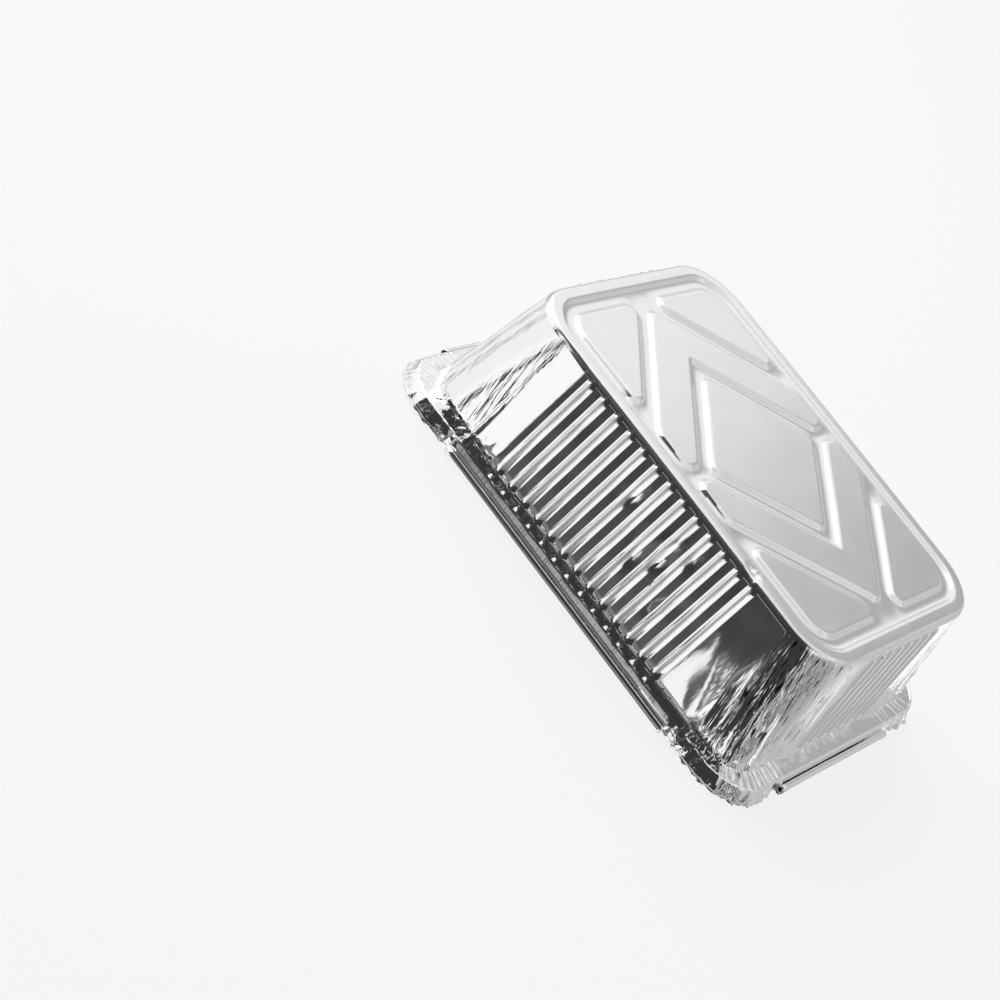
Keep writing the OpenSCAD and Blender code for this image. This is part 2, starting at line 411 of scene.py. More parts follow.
    def ledge_row(self, share, fold=0.0):
        """The crumpled ledge, with a fold that stands up along its outer edge."""
        half_l = self.foot_x + share * LEDGE_W
        half_w = self.foot_y + share * LEDGE_W
        radius = self.foot_r + share * (RIM_R - LIP_LEAN - self.foot_r)
        pleat = 0.8 * self.coarse.at(self.run, 0) + 0.4 * self.medium.at(self.run, 0)
        out = self.corner * (0.7 - 0.5 * share) * pleat
        level = np.full(len(self.run), share * LEDGE_W)
        crease = noise(self.run, level, SEED + 7, 2.0) * (0.36 - 0.16 * self.long) * (1 - share)
        crease = crease + noise(self.run, level, SEED + 8, 6.0) * SMALL_WAVE
        rise = crease * (1 - share * 0.6) + self.tight * 0.30 * self.fine.at(self.run, 0)
        return self.ring(half_l, half_w, radius, LIP_H, out, rise * (1 - share ** 6) + fold - 0.1)

    def lip_row(self, z):
        """The lip hangs straight on the sides and spreads in uneven pleats at the corners."""
        s = (LIP_H - z) / LIP_H
        lean = LIP_LEAN * (LIP_H - z) / (LIP_H - BEAD_D / 2)
        ends = np.array([min(1.0, 4 * min(p[2], 1 - p[2])) if p[1] else 0.0 for p in self.places])
        spread = s * CORNER_SPREAD * smooth(ends)
        pleat = 0.75 * self.medium.at(self.run, 0) + 0.60 * self.fine.at(self.run, 0.25 * s)
        out = spread + self.tight * (0.2 + 0.8 * s) * pleat * (0.4 + 0.6 * self.size)
        level = np.full(len(self.run), z)
        out = out + 0.12 * noise(self.run, level, SEED + 9, 3.0) * (0.3 + self.corner)
        out = out + 0.30 * np.exp(-((s - 0.45) / 0.16) ** 2)
        half_l = self.lip_x - LIP_LEAN + lean
        half_w = self.lip_y - LIP_LEAN + lean
        return self.ring(half_l, half_w, RIM_R - LIP_LEAN + lean, z, out, 0)

    def ragged_rise(self):
        """How far the open edge of a corner ends above the surface that it stands on."""
        return 0.60 + 0.50 * noise(self.run, 0 * self.run, SEED + 10, 1.7)

    def add_to(self, skin):
        """Adds the wall's rows and returns the row that the base joins."""
        rows = [self.fillet_row(math.radians(angle)) for angle in FILLET_ANGLES]
        wall_top, wall_foot = self.height - FILLET_R, LIP_H + 0.15
        heights = [wall_top - drop for drop in WALL_DROPS]
        heights += list(np.linspace(heights[-1], wall_foot + 4.5, 15))[1:]
        heights += list(np.linspace(wall_foot + 4.5, wall_foot, 5))[1:]
        rows += [self.wall_row(z) for z in heights]
        rows += [self.ledge_row(share) for share in LEDGE_SHARES]
        rows += [self.ledge_row(share, fold) for share, fold in LEDGE_FOLDS]
        rows += [self.lip_row(z) for z in np.linspace(LIP_H - 0.5, BEAD_D / 2, 5)]
        ids = [skin.add(row, self.way_of(row)) for row in rows]
        for upper, lower in zip(ids[:-1], ids[1:]):
            skin.strip(np.append(lower, lower[0]), np.append(upper, upper[0]))
        self.add_open_corners(skin, ids[-1])
        self.add_beads(skin, ids[-1])
        return ids[0]

    def way_of(self, row):
        """Distance round and up the wall, and how far the shader's fine creases are felt."""
        foot = smooth((LIP_H + 3 - row[:, 2]) / 2) * 0.16
        top = smooth((self.height - row[:, 2]) / 3)
        gathered = np.maximum(self.corner * np.maximum(self.size, 0.35), foot) * top
        ribs = rib_height(self.places, float(np.mean(row[:, 2])), self.height)
        worn = np.clip(ribs / RIB_H / 0.1 - 7.8, 0, 1) * self.long
        return np.column_stack([self.run + LEAN * row[:, 2], row[:, 2], gathered, worn])

    def stretch(self, k, corner):
        """Indices of the stations of side k, or of the corner after it with both of its ends."""
        found = [i for i, place in enumerate(self.places) if place[0] == k and place[1] == corner]
        if corner:
            found = [found[0] - 1] + found + [(found[-1] + 1) % len(self.places)]
        return found

    def add_open_corners(self, skin, last):
        edge = self.ragged_rise()
        below = [self.lip_row(z) for z in (BEAD_D / 4, 0.0)]
        for row, share in zip(below, (0.5, 1.0)):
            row[:, 2] = BEAD_D / 2 + (edge - BEAD_D / 2) * share
        for k in range(4):
            own = self.stretch(k, True)
            ids = [last[own]] + [skin.add(row[own]) for row in below]
            for upper, lower in zip(ids[:-1], ids[1:]):
                skin.strip(lower, upper)

    def add_beads(self, skin, last):
        """The lip's edge, rolled outward under the rim and back over on the straight sides."""
        turn = math.radians(BEAD_TURN)
        radius = BEAD_D / 2 - FOIL - 0.02
        for k in range(4):
            own = self.stretch(k, False)
            kept = list(range(0, len(own) - 1, BEAD_EVERY)) + [len(own) - 1]
            lip = np.array([skin.points[i] for i in last[own]])[kept]
            outward = np.array([(0, -1), (1, 0), (0, 1), (-1, 0)][k])
            level = (self.lip_x, self.lip_y)[(k + 1) % 2]
            run = self.run[own][kept]
            previous = None
            for step in range(1, BEAD_STEPS + 1):
                angle = turn * step / BEAD_STEPS
                flat = 0.05 * (noise(run, run * 0 + step * 0.6, SEED + 12 + k, 16.0) - 1)
                out = radius * (1 - math.cos(angle)) * (1 - 0.03 * step / BEAD_STEPS) + flat
                blend = min(1.0, step / 3)
                from_middle = (lip[:, :2] * outward).sum(1) * (1 - blend) + level * blend + out
                points = lip.copy()
                points[:, :2] = lip[:, :2] * (1 - np.abs(outward)) + from_middle[:, None] * outward
                points[:, 2] = BEAD_D / 2 - radius * math.sin(angle)
                ids = skin.add(points)
                if previous is None:
                    for a, b, first, final in zip(ids[:-1], ids[1:], kept[:-1], kept[1:]):
                        skin.faces.append((a, b, *last[own][first:final + 1][::-1]))
                else:
                    skin.strip(ids, previous)
                previous = ids


# The pressed pattern of the base

def inside_polygon_distance(points, corners):
    """Signed distance to a convex polygon whose corners run anticlockwise, negative inside."""
    corners = np.array(corners, float)
    side = np.roll(corners, -1, 0) - corners
    length = np.linalg.norm(side, axis=1)
    normal = np.column_stack([side[:, 1], -side[:, 0]]) / length[:, None]
    offset = points[:, None, :] - corners[None]
    plane = (offset * normal[None]).sum(2)
    share = np.clip((offset * side[None]).sum(2) / length ** 2, 0, 1)
    nearest = np.linalg.norm(offset - share[:, :, None] * side[None], axis=2).min(1)
    return np.where(plane.max(1) < 0, plane.max(1), nearest)


def soft_least(a, b, reach):
    """The smaller of two distances, rounded where they are nearly equal."""
    mix = np.clip(0.5 + 0.5 * (b - a) / reach, 0, 1)
    return b * (1 - mix) + a * mix - reach * mix * (1 - mix)


def inset(corners, amount):
    """A convex polygon with each side moved inward."""
    corners = np.array(corners, float)
    count = len(corners)
    moved = []
    for i in range(count):
        a, b, c = corners[i - 1], corners[i], corners[(i + 1) % count]
        u, v = (b - a) / np.linalg.norm(b - a), (c - b) / np.linalg.norm(c - b)
        nu, nv = np.array([-u[1], u[0]]), np.array([-v[1], v[0]])
        matrix = np.array([nu, nv])
        values = np.array([nu @ b + amount, nv @ b + amount])
        moved.append(np.linalg.solve(matrix, values))
    return np.array(moved)


class Panel:
    """A flat field between grooves: a convex core with round corners of its own radius."""

    def __init__(self, core, radius):
        self.core = np.array(core, float)
        self.radius = radius

    def distance(self, points):
        return inside_polygon_distance(points, self.core) - self.radius

    def contour(self, offset, spacing):
        """Points along the outline moved outward by offset."""
        reach = self.radius + offset
        found = []
        count = len(self.core)
        for i in range(count):
            a, b, c = self.core[i - 1], self.core[i], self.core[(i + 1) % count]
            first = math.atan2(-(b - a)[0], (b - a)[1])
            last = math.atan2(-(c - b)[0], (c - b)[1])
            turn = (last - first) % (2 * math.pi)
            steps = max(2, int(turn * max(reach, 0.6) / spacing * 1.6) + 1)
            for step in range(steps + 1):
                angle = first + turn * step / steps
                found.append(b + reach * np.array([math.cos(angle), math.sin(angle)]))
            side = c - b
            steps = max(1, int(np.linalg.norm(side) / spacing))
            outward = np.array([math.cos(last), math.sin(last)])
            found.extend(b + side * step / steps + reach * outward for step in range(1, steps))
        return np.array(found)


def mirrored(corners, sx, sy):
    """The polygon on the other side of one or both middle lines, still anticlockwise."""
    turned = [(sx * x, sy * y) for x, y in corners]
    return turned[::-1] if sx * sy < 0 else turned


class Base:
    """The flat bottom with its pressed grooves, seen from outside."""

    def __init__(self, height):
        self.height = height
        self.run = (GROOVE_W - GROOVE_FLOOR) / 2
        loop_inset = RING_W + GROOVE_W / 2
        self.loop_x, self.loop_y = BASE_L / 2 - loop_inset, BASE_W / 2 - loop_inset
        self.loop_r = BASE_R - loop_inset
        self.chevron_x = DIAMOND_X + CHEVRON_STEP
        self.chevron_end = self.chevron_x - self.loop_y * DIAMOND_X / DIAMOND_Y
        self.panels = self.make_panels()
        grow = GROOVE_W / 2
        self.ring = Panel(
            [(x * (self.loop_x - self.loop_r), y * (self.loop_y - self.loop_r))
             for x, y in ((-1, -1), (1, -1), (1, 1), (-1, 1))],
            self.loop_r + grow)

    def make_panels(self):
        core = GROOVE_W / 2 + PANEL_R
        diamond = [(DIAMOND_X, 0), (0, DIAMOND_Y), (-DIAMOND_X, 0), (0, -DIAMOND_Y)]
        panels = [Panel(inset(diamond, core), PANEL_R)]
        slope = DIAMOND_X / DIAMOND_Y
        strip = [(DIAMOND_X, 0), (self.chevron_x, 0), (self.chevron_end, self.loop_y),
                 (0, self.loop_y), (0, DIAMOND_Y)]
        corner_r = self.loop_r - GROOVE_W / 2
        below = (self.chevron_x - self.loop_x) / slope
        field = [(self.loop_x, below), (self.loop_x, self.loop_y), (self.chevron_end, self.loop_y)]
        for sx, sy in ((1, 1), (-1, 1), (-1, -1), (1, -1)):
            half = self.half_strip(strip, core, slope)
            panels.append(Panel(mirrored(half, sx, sy), PANEL_R))
            rounded = self.corner_field(field, core, corner_r)
            panels.append(Panel(mirrored(rounded, sx, sy), PANEL_R))
        return panels

    def half_strip(self, strip, core, slope):
        """Half of a chevron panel; it runs a little past the middle line to meet its mirror half."""
        stretched = list(strip)
        past = 2 * core
        stretched[0] = (DIAMOND_X + past * slope, -past)
        stretched[1] = (self.chevron_x + past * slope, -past)
        moved = inset(stretched, core)
        kept = [p for p in moved if p[1] >= 0]
        inner = self.at_middle(moved[-1], moved[0])
        outer = self.at_middle(moved[1], moved[2])
        return [inner, outer] + [tuple(p) for p in kept]

    @staticmethod
    def at_middle(a, b):
        """Where the line from a to b crosses the middle line of the base."""
        share = a[1] / (a[1] - b[1])
        return (a[0] + share * (b[0] - a[0]), 0.0)

    def corner_field(self, field, core, radius):
        """A corner panel, whose outer corner is rounder than the rest."""
        moved = inset(field, core)
        extra = max(0.0, radius - PANEL_R)
        centre = moved[1] - extra
        arc = [centre + extra * np.array([math.cos(a), math.sin(a)])
               for a in np.radians((0, 18, 36, 54, 72, 90))]
        return [tuple(moved[0])] + [tuple(p) for p in arc] + [tuple(moved[2])]

    def depth(self, points):
        """How deep the grooves lie at points on the base."""
        gap = -self.ring.distance(points)
        for panel in self.panels:
            gap = soft_least(gap, panel.distance(points), CHEVRON_BLEND)
        share = np.clip(gap / self.run, 0, 1)
        x, y = points[:, 0], points[:, 1]
        wall_y = self.loop_y - GROOVE_FLOOR / 2
        for start, end in STEEP_PLACES:
            fade = 1 - 0.5 * (x - start) / (end - start)
            steep = fade * smooth(np.clip(x - start, 0, 1)) * smooth(np.clip(end - x, 0, 1))
            steep = steep * (y > -wall_y - 0.3) * (y < -wall_y + 2 * self.run)
            share = share + steep * (np.clip((share - 0.45) / 0.55, 0, 1) - share)
        return GROOVE_DEPTH * smooth(share)

    def level(self, points):
        """The height of the base at points, a little uneven away from its edge."""
        x, y = points[:, 0], points[:, 1]
        edge = smooth(-inside_polygon_distance(points, self.ring.core) / 12.0 + 1.2)
        swell = 0.22 * (0.5 + 0.5 * noise(x, y, SEED + 15, 38.0)) + 0.05 * (1 + noise(x, y, SEED + 16, 15.0))
        return self.height - self.depth(points) - swell * edge

    def inner_points(self):
        """Points along every groove, in the dents and, wider apart, on the flat fields."""
        rows = []
        for offset in GROOVE_ROWS:
            rows.append(self.ring.contour(-offset, ROW_STEP))
        for panel in self.panels:
            for offset in GROOVE_ROWS:
                row = panel.contour(offset, ROW_STEP)
                others = [p.distance(row) for p in self.panels if p is not panel]
                rows.append(row[np.min(others, 0) > offset - 0.05])
        rows.append(self.ring.contour(2.2, 2.4))
        grid_x = np.arange(-BASE_L / 2, BASE_L / 2, FLAT_STEP)
        grid_y = np.arange(-BASE_W / 2, BASE_W / 2, FLAT_STEP)
        grid = np.array([(x, y) for x in grid_x for y in grid_y])
        flat = np.min([panel.distance(grid) for panel in self.panels], 0) < -2.6
        rows.append(grid[flat])
        for (cx, cy), reach, _ in DENTS:
            fine = np.arange(-1.5 * reach, 1.5 * reach, DENT_STEP)
            rows.append(np.array([(cx + a, cy + b) for a in fine for b in fine]))
        points = np.concatenate(rows)
        limit = self.ring.distance(points) < RING_W - FILLET_R - 0.9
        return thinned(points[limit], LEAST_STEP)

    def add_to(self, skin, edge):
        """Fills the ring of the wall's first row with the pressed base."""
        border = np.array([skin.points[i][:2] for i in edge])
        inner = self.inner_points()
        ids = skin.add(np.column_stack([inner, self.level(inner)]))
        flat = [Vector(p) for p in np.concatenate([border, inner])]
        names = list(edge) + list(ids)
        count = len(border)
        loop = [(i, (i + 1) % count) for i in range(count)]
        found = delaunay_2d_cdt(flat, loop, [], 1, 1e-5, True)
        origin = [names[source[0]] for source in found[3]]
        for face in found[2]:
            skin.faces.append(tuple(origin[i] for i in face))


def dent_depth(x, y):
    """How deep the dents in the base lie."""
    down = np.zeros(len(x))
    for (cx, cy), reach, size in DENTS:
        near = np.exp(-((x - cx) ** 2 + (y - cy) ** 2) / reach ** 2)
        down += size * near * (0.5 + 0.5 * noise(x, y, SEED + 14, reach * 0.35))
    return down


def thinned(points, least):
    """The points with those left out that lie in the same small cell as an earlier one."""
    cells = np.floor(points / least).astype(int)
    _, first = np.unique(cells, axis=0, return_index=True)
    return points[np.sort(first)]


def settled(points, height):
    """The base stands a little higher in its middle than at its edge, and it has a few dents."""
    points = np.array(points)
    share = smooth((points[:, 2] - height + CROWN_RUN) / CROWN_RUN)
    away = 0.5 * (points[:, 0] / (BASE_L / 2)) ** 2 + 0.5 * (points[:, 1] / (BASE_W / 2)) ** 2
    points[:, 2] -= CROWN * share * np.minimum(away, 1.2)
    points[:, 2] -= share * dent_depth(points[:, 0], points[:, 1])
    return points


def build_skin(height):
    skin = Skin()
    edge = Wall(height).add_to(skin)
    Base(height).add_to(skin, edge)
    skin.points = [tuple(point) for point in settled(skin.points, height)]
    return skin


def sheet_mesh(skin, name):
    """One closed sheet of foil: the outer face, an inner face and the cut edges between them.

    Its attributes tell the shader the way round and up the wall, and how gathered and worn it is.
    """
    mesh = bpy.data.meshes.new(name)
    mesh.from_pydata([Vector(p) * MM for p in skin.points], [], skin.faces)
    mesh.validate()
    mesh.shade_smooth()
    mesh.set_sharp_from_angle(angle=math.radians(SHARP_FROM))
    piece = bpy.data.objects.new(name, mesh)
    bpy.context.scene.collection.objects.link(piece)
    way = np.array(skin.way)
    flat = np.column_stack([way[:, 0] * MM, way[:, 1] * MM, np.zeros(len(way))])
    mesh.attributes.new("way", "FLOAT_VECTOR", "POINT").data.foreach_set("vector", flat.ravel())
    mesh.attributes.new("gathered", "FLOAT", "POINT").data.foreach_set("value", way[:, 2].copy())
    mesh.attributes.new("worn", "FLOAT", "POINT").data.foreach_set("value", way[:, 3].copy())
    thick = piece.modifiers.new("foil", "SOLIDIFY")
    thick.thickness = FOIL * MM
    thick.offset = -1
    depsgraph = bpy.context.evaluated_depsgraph_get()
    solid = bpy.data.meshes.new_from_object(piece.evaluated_get(depsgraph))
    piece.modifiers.clear()
    piece.data = solid
    piece.data.name = name
    return piece


# Materials

# The foil's colour from its duller to its brighter places, and the painted shade of its narrowest creases
FOIL_TONES = ((0.88, 0.885, 0.895, 1), (0.93, 0.93, 0.935, 1))
PAINTED_CREASE_SHADE = (0.06, 0.06, 0.065, 1)

# Roughness of the walls and of the base, each from and to, and of the ribs' worn crowns
WALL_ROUGH, BASE_ROUGH, WORN_ROUGH = (0.04, 0.09), (0.17, 0.23), 0.42

# Depth of the crinkles and of the rolling strokes, in metres
CRINKLE_DEPTH, STROKE_DEPTH = 0.00055, 0.000010

FLOOR_TONE = (0.85, 0.85, 0.85, 1)
FLOOR_LIFT = 0.8


class Graph:
    """Short ways to build a node tree; each returns the socket that it makes."""

    def __init__(self, tree):
        self.tree = tree

    def node(self, kind, **settings):
        made = self.tree.nodes.new(kind)
        for name, value in settings.items():
            setattr(made, name, value)
        return made

    def put(self, socket, value):
        if isinstance(value, bpy.types.NodeSocket):
            self.tree.links.new(value, socket)
        else:
            socket.default_value = value

    def math(self, operation, *values):
        made = self.node("ShaderNodeMath", operation=operation)
        for socket, value in zip(made.inputs, values):
            self.put(socket, value)
        return made.outputs[0]

    def rise(self, value, low, high, least=0.0, most=1.0):
        """Goes smoothly from least to most as value goes from low to high."""
        made = self.node("ShaderNodeMapRange", interpolation_type="SMOOTHSTEP")
        for socket, number in zip(made.inputs, (value, low, high, least, most)):
            self.put(socket, number)
        return made.outputs[0]

    def mix(self, factor, first, second):
        made = self.node("ShaderNodeMix", data_type="FLOAT")
        self.put(made.inputs[0], factor)
        self.put(made.inputs[2], first)
        self.put(made.inputs[3], second)
        return made.outputs[0]

    def noise(self, vector, scale, detail=2.0, stretch=(1, 1, 1)):
        fitted = self.node("ShaderNodeMapping")
        self.put(fitted.inputs["Vector"], vector)
        fitted.inputs["Scale"].default_value = stretch
        made = self.node("ShaderNodeTexNoise")
        self.put(made.inputs["Vector"], fitted.outputs[0])
        made.inputs["Scale"].default_value = scale
        made.inputs["Detail"].default_value = detail
        return made.outputs[0]

    def bump(self, height, distance, normal=None):
        made = self.node("ShaderNodeBump")
        made.inputs["Strength"].default_value = 1.0
        made.inputs["Distance"].default_value = distance
        self.put(made.inputs["Height"], height)
        if normal is not None:
            self.put(made.inputs["Normal"], normal)
        return made.outputs[0]


def crinkled(graph, normal):
    """Fine creases that run up the gathered corners, finer than the mesh can hold."""
    way = graph.node("ShaderNodeAttribute", attribute_name="way").outputs["Vector"]
    share = graph.node("ShaderNodeAttribute", attribute_name="gathered").outputs["Fac"]
    long = graph.noise(way, 400.0, 2.0, (1, 0.07, 1))
    short = graph.noise(way, 800.0, 1.0, (1, 0.12, 1))
    fold = graph.math("ABSOLUTE", graph.math("SUBTRACT", long, 0.5))
    crease = graph.math("ABSOLUTE", graph.math("SUBTRACT", short, 0.5))
    height = graph.math("ADD", fold, graph.math("MULTIPLY", crease, 0.4))
    return graph.bump(graph.math("MULTIPLY", height, share), CRINKLE_DEPTH, normal)


def painted_crease_shade(graph):
    """Painted shade: the colour goes dark in short strokes in the gathered corners, standing in for creases
    too narrow to reflect anything.
    """
    way = graph.node("ShaderNodeAttribute", attribute_name="way").outputs["Vector"]
    share = graph.node("ShaderNodeAttribute", attribute_name="gathered").outputs["Fac"]
    parts = graph.node("ShaderNodeSeparateXYZ")
    graph.put(parts.inputs[0], way)
    on_wall = graph.rise(parts.outputs["Y"], (LIP_H + 5) * MM, (LIP_H + 10) * MM)
    found = graph.rise(graph.noise(way, 900.0, 0.0, (1, 0.12, 1)), 0.67, 0.71)
    return graph.math("MULTIPLY", graph.math("MULTIPLY", found, on_wall), graph.rise(share, 0.35, 1.0))


def foil_material(height):
    """Bright pressed foil: mirror-like on the walls and satin on the base."""
    material = bpy.data.materials.new("foil")
    material.use_nodes = True
    graph = Graph(material.node_tree)
    shader = material.node_tree.nodes["Principled BSDF"]
    shader.inputs["Metallic"].default_value = 1.0
    place = graph.node("ShaderNodeTexCoord").outputs["Object"]
    parts = graph.node("ShaderNodeSeparateXYZ")
    graph.put(parts.inputs[0], place)
    satin = graph.rise(parts.outputs["Z"], (height - 3.2) * MM, (height - 1.4) * MM)
    cloud = graph.noise(place, 90.0, 4.0)
    walls = graph.rise(cloud, 0.3, 0.7, *WALL_ROUGH)
    base = graph.rise(graph.noise(place, 60.0, 5.0), 0.3, 0.7, *BASE_ROUGH)
    worn = graph.node("ShaderNodeAttribute", attribute_name="worn").outputs["Fac"]
    walls = graph.mix(worn, walls, WORN_ROUGH)
    graph.put(shader.inputs["Roughness"], graph.mix(satin, walls, base))
    tone = graph.node("ShaderNodeMix", data_type="RGBA")
    graph.put(tone.inputs[0], cloud)
    tone.inputs[6].default_value, tone.inputs[7].default_value = FOIL_TONES
    # Painted shade: in short strokes in the corners the colour darkens to the painted crease shade
    dark = graph.node("ShaderNodeMix", data_type="RGBA")
    graph.put(dark.inputs[0], painted_crease_shade(graph))
    graph.put(dark.inputs[6], tone.outputs[2])
    dark.inputs[7].default_value = PAINTED_CREASE_SHADE
    graph.put(shader.inputs["Base Color"], dark.outputs[2])
    strokes = graph.bump(graph.noise(place, 900.0, 2.0, (1, 1, 0.14)), STROKE_DEPTH)
    graph.put(shader.inputs["Normal"], crinkled(graph, strokes))
    return material


def floor_material():
    """Pale matt floor, lifted to white for the camera, which keeps the shadow."""
    material = bpy.data.materials.new("floor")
    material.use_nodes = True
    graph = Graph(material.node_tree)
    graph.tree.nodes.clear()
    out = graph.node("ShaderNodeOutputMaterial")
    matt = graph.node("ShaderNodeBsdfDiffuse")
    matt.inputs["Color"].default_value = FLOOR_TONE
    glow = graph.node("ShaderNodeEmission")
    path = graph.node("ShaderNodeLightPath")
    mix = graph.node("ShaderNodeMixShader")
    graph.put(mix.inputs[0], graph.math("MULTIPLY", path.outputs["Is Camera Ray"], FLOOR_LIFT))
    graph.put(mix.inputs[1], matt.outputs[0])
    graph.put(mix.inputs[2], glow.outputs[0])
    graph.put(out.inputs[0], mix.outputs[0])
    return material


def card_material(name, level):
    """A card's even glow, at its own level."""
    material = bpy.data.materials.new(name)
    material.use_nodes = True
    graph = Graph(material.node_tree)
    graph.tree.nodes.clear()
    out = graph.node("ShaderNodeOutputMaterial")
    glow = graph.node("ShaderNodeEmission")
    glow.inputs["Color"].default_value = (level, level, level, 1)
    graph.put(out.inputs[0], glow.outputs[0])
    return material


# The studio: the floor, cards that only reflections see, the lamp, the surroundings and the camera

FLOOR_REACH = 4000.0

# A grey card on the floor before the near lip: two opposite corners, its height and its level
LIP_CARD, LIP_CARD_Z, LIP_CARD_LEVEL = ((-74, -111), (70, -93)), 0.5, 0.22

# White cards on the floor, by the outlines of their reflections at x, z on the near long wall
WHITE_CARD_Z = 1.0
WHITE_PATCHES = {
    "patch_card": ((51.6, 9), (51.3, 24), (50.9, 38), (52.6, 36), (53.0, 32), (56.0, 28), (57.6, 23),
                   (58.3, 17), (62.5, 11), (66, 8.5), (58, 8)),
    "long_card": ((67, 9), (62.6, 20), (61.0, 29), (61.2, 36), (63.2, 30), (65.5, 19), (70, 9.5)),
    "short_card": ((70.5, 10), (67.0, 24), (66.0, 32), (66.2, 40), (67.8, 33), (69.8, 20), (73, 11)),
}

# The lamp: its place and aim in millimetres, its size in metres and its power in watts
KEY_PLACE, KEY_AIM, KEY_SIZE, KEY_POWER = (-760, 160, 640), (0, 0, 30), (0.8, 0.8), 4.0

# The photograph's camera, fitted to the container's rim, base and ribs
CAMERA_AT = (206.48, -973.26, 548.92)
CAMERA_AIM = (-26.82, -126.90, 31.00)
CAMERA_ROLL = 44.755
CAMERA_LENS = 102.95


def plane(name, corners, material):
    mesh = bpy.data.meshes.new(name)
    mesh.from_pydata([Vector(c) * MM for c in corners], [], [tuple(range(len(corners)))])
    piece = bpy.data.objects.new(name, mesh)
    bpy.context.scene.collection.objects.link(piece)
    mesh.materials.append(material)
    return piece


def reflection_card(name, corners, level):
    """A pale card that only the foil's reflections see."""
    card = plane(name, corners, card_material(name, level))
    card.visible_camera = False
    card.visible_diffuse = False
    card.visible_shadow = False
    card.visible_transmission = False


def seen_on_floor(x, z, height):
    """The place on the floor that shows at x, z on the near long wall, seen from the camera."""
    foot = BEAD_LIP[1] - LIP_LEAN - LEDGE_W
    slope = (foot - BASE_W / 2) / (height - LIP_H)
    place = np.array((x, -BASE_W / 2 - slope * (height - z), z))
    normal = np.array((0, -1, slope)) / math.hypot(1, slope)
    sight = place - np.array(CAMERA_AT)
    sight = sight - 2 * (sight @ normal) * normal
    return tuple(place + sight * (WHITE_CARD_Z - z) / sight[2])


def rectangle(low, high, z):
    """The corners of a level rectangle between two opposite ones."""
    return [(low[0], low[1], z), (high[0], low[1], z), (high[0], high[1], z), (low[0], high[1], z)]


def studio(height):
    far = (FLOOR_REACH, FLOOR_REACH)
    floor = plane("floor", rectangle((-FLOOR_REACH, -FLOOR_REACH), far, 0), floor_material())
    floor.visible_glossy = False
    for name, outline_seen in WHITE_PATCHES.items():
        reflection_card(name, [seen_on_floor(x, z, height) for x, z in outline_seen], 1.0)
    reflection_card("lip_card", rectangle(*LIP_CARD, LIP_CARD_Z), LIP_CARD_LEVEL)


def area_light(name, place, aim, size, power):
    lamp = bpy.data.lights.new(name, "AREA")
    lamp.shape = "RECTANGLE"
    lamp.size, lamp.size_y = size
    lamp.energy = power
    holder = bpy.data.objects.new(name, lamp)
    bpy.context.scene.collection.objects.link(holder)
    holder.location = Vector(place) * MM
    holder.rotation_euler = (Vector(aim) - Vector(place)).to_track_quat("-Z", "Y").to_euler()


class Surroundings:
    """What the foil mirrors in each direction. Every area lies over those laid before it."""

    def __init__(self, tree, level):
        self.graph = Graph(tree)
        self.level = level
        parts = self.graph.node("ShaderNodeSeparateXYZ")
        self.graph.put(parts.inputs[0], self.graph.node("ShaderNodeTexCoord").outputs["Generated"])
        self.x, self.y, self.z = parts.outputs
        angle = self.graph.math("ARCTAN2", self.y, self.x)
        self.turn = self.graph.math("MULTIPLY", angle, 180 / math.pi)

    def sector(self, start, end, soft):
        """1 between two directions round the object in degrees, with soft edges."""
        after = self.graph.rise(self.turn, start - soft, start + soft)
        before = self.graph.rise(self.turn, end + soft, end - soft)
        return self.graph.math("MULTIPLY", after, before)

    def lay(self, level, around=None, lower=None, upper=None, within=None):
        """Lays a level over a sector, between a lower and an upper edge that it fades in across."""
        shares = [] if within is None else [within]
        if around:
            shares.append(self.sector(*around))
        shares.extend(self.graph.rise(self.z, *edge) for edge in (lower, upper) if edge)
        share = shares[0]
        for other in shares[1:]:
            share = self.graph.math("MULTIPLY", share, other)
        self.level = self.graph.mix(share, self.level, level)


# The studio's level where nothing is laid, and what the camera sees of it
STUDIO_LEVEL, SHOWN_LEVEL = 1.05, 1.0

# Where narrow areas begin round the object, in degrees: on the left, and beside the near right corner
LEFT_STREAKS, LEFT_STREAK_W = (-172, 128, 158), 8
CORNER_STRIPS, CORNER_STRIP_W = (-29, -21, -13, -4, 5), 5

# The edges between what lies before the near wall and what lies below and above it
FRONT_LOWER, FRONT_UPPER = (-0.23, -0.19), (0.92, 0.84)


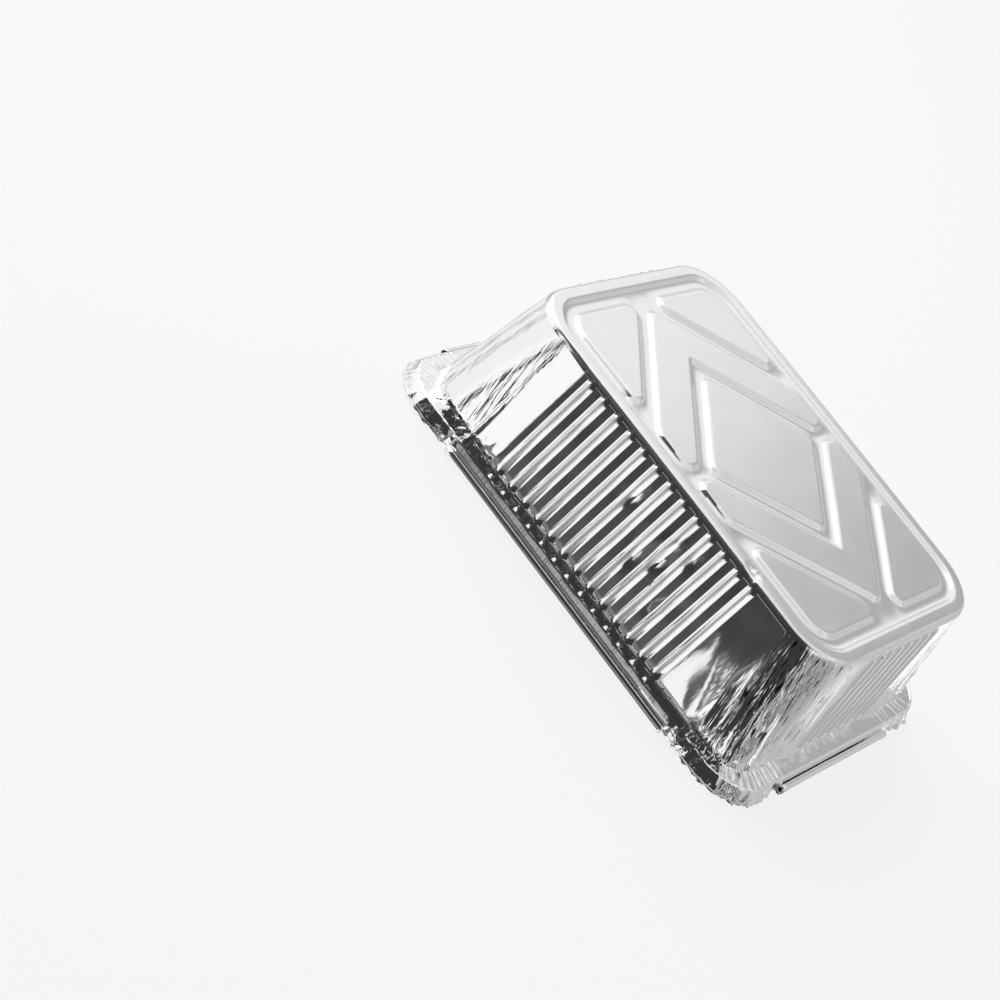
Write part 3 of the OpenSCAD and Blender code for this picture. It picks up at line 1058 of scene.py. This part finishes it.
def surroundings(tree):
    """The studio round the object: its levels by direction, as the photograph's metal mirrors them."""
    seen = Surroundings(tree, STUDIO_LEVEL)
    graph = seen.graph
    horizon = (0.1, -0.05)
    seen.lay(0.96, upper=horizon, within=graph.rise(seen.x, -0.50, -0.62))
    for start in LEFT_STREAKS:
        seen.lay(0.58, (start, start + LEFT_STREAK_W, 2), upper=horizon)

    # The far side, the right side and overhead
    level_with = graph.rise(graph.math("ABSOLUTE", seen.z), 0.30, 0.12)
    seen.lay(0.58, within=graph.math("MULTIPLY", graph.rise(seen.y, 0.25, 0.5), level_with))
    seen.lay(0.92, (95, 138, 6), (0.1, 0.3), (0.75, 0.6))
    seen.lay(0.44, (-14, 40, 3), upper=(0.04, -0.02))
    seen.lay(0.58, (40, 71, 2.5), upper=(0.04, -0.02))
    seen.lay(0.44, (-20, 101.5, 4.5), (-0.02, 0.04), (0.78, 0.62))
    seen.lay(0.60, (-20, 84, 4), (0.04, 0.10), (0.78, 0.62))
    seen.lay(0.66, (-60, 110, 10), (0.74, 0.82))
    seen.lay(0.82, lower=(0.88, 0.94))

    # The floor before the near wall, and the dark front of the studio above it
    near_floor = graph.rise(seen.z, -0.29, -0.23, 0.12, 0.06)
    near_floor = graph.mix(graph.rise(seen.z, -0.50, -0.40), 0.26, near_floor)
    seen.lay(near_floor, (-111, -95, 1.2), upper=(-0.14, -0.18))
    seen.lay(0.12, (-95, -86, 1.2), upper=(-0.14, -0.18))
    seen.lay(0.04, (-111, -34, 2), FRONT_LOWER, FRONT_UPPER)

    # The pale band that the lip mirrors, brighter to the right, and the strips beside the corner
    band = graph.rise(seen.turn, -109, -100, 0.10, 0.42)
    seen.lay(band, (-111, -95, 1.2), (-0.11, -0.07), (0.12, 0.04))
    for start in CORNER_STRIPS:
        seen.lay(0.05, (start, start + CORNER_STRIP_W, 1), FRONT_LOWER, (0.62, 0.5))

    # The dark front goes on to the left and over the top
    seen.lay(0.04, (-133, -111, 2), (-0.06, 0.0), FRONT_UPPER)
    seen.lay(0.05, lower=(0.80, 0.86), within=graph.rise(seen.y, 0.02, -0.08))
    return seen


def lights():
    area_light("key", KEY_PLACE, KEY_AIM, KEY_SIZE, KEY_POWER)
    world = bpy.data.worlds.new("studio")
    bpy.context.scene.world = world
    world.use_nodes = True
    seen = surroundings(world.node_tree)
    path = seen.graph.node("ShaderNodeLightPath")
    shown = seen.graph.mix(path.outputs["Is Camera Ray"], seen.level, SHOWN_LEVEL)
    seen.graph.put(world.node_tree.nodes["Background"].inputs["Color"], shown)


def camera():
    data = bpy.data.cameras.new("camera")
    data.lens = CAMERA_LENS
    data.sensor_width = 36.0
    data.clip_start = 0.05
    holder = bpy.data.objects.new("camera", data)
    bpy.context.scene.collection.objects.link(holder)
    aim = (Vector(CAMERA_AIM) - Vector(CAMERA_AT)).to_track_quat("-Z", "Y").to_matrix().to_4x4()
    roll = Matrix.Rotation(math.radians(CAMERA_ROLL), 4, "Z")
    holder.matrix_world = Matrix.Translation(Vector(CAMERA_AT) * MM) @ aim @ roll
    bpy.context.scene.camera = holder


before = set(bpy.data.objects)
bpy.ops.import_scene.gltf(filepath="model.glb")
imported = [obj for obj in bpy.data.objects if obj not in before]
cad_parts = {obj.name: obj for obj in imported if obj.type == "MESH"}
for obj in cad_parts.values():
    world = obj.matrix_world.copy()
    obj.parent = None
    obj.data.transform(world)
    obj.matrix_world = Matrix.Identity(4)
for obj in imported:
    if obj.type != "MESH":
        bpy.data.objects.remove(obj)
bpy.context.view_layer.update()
_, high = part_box("container")
top = high.z / MM
bpy.context.scene.view_settings.view_transform = "Standard"
camera()
studio(top)
lights()
container = sheet_mesh(build_skin(top), "foil_container")
container.data.materials.clear()
container.data.materials.append(foil_material(top))
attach(container, "root")
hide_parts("container")
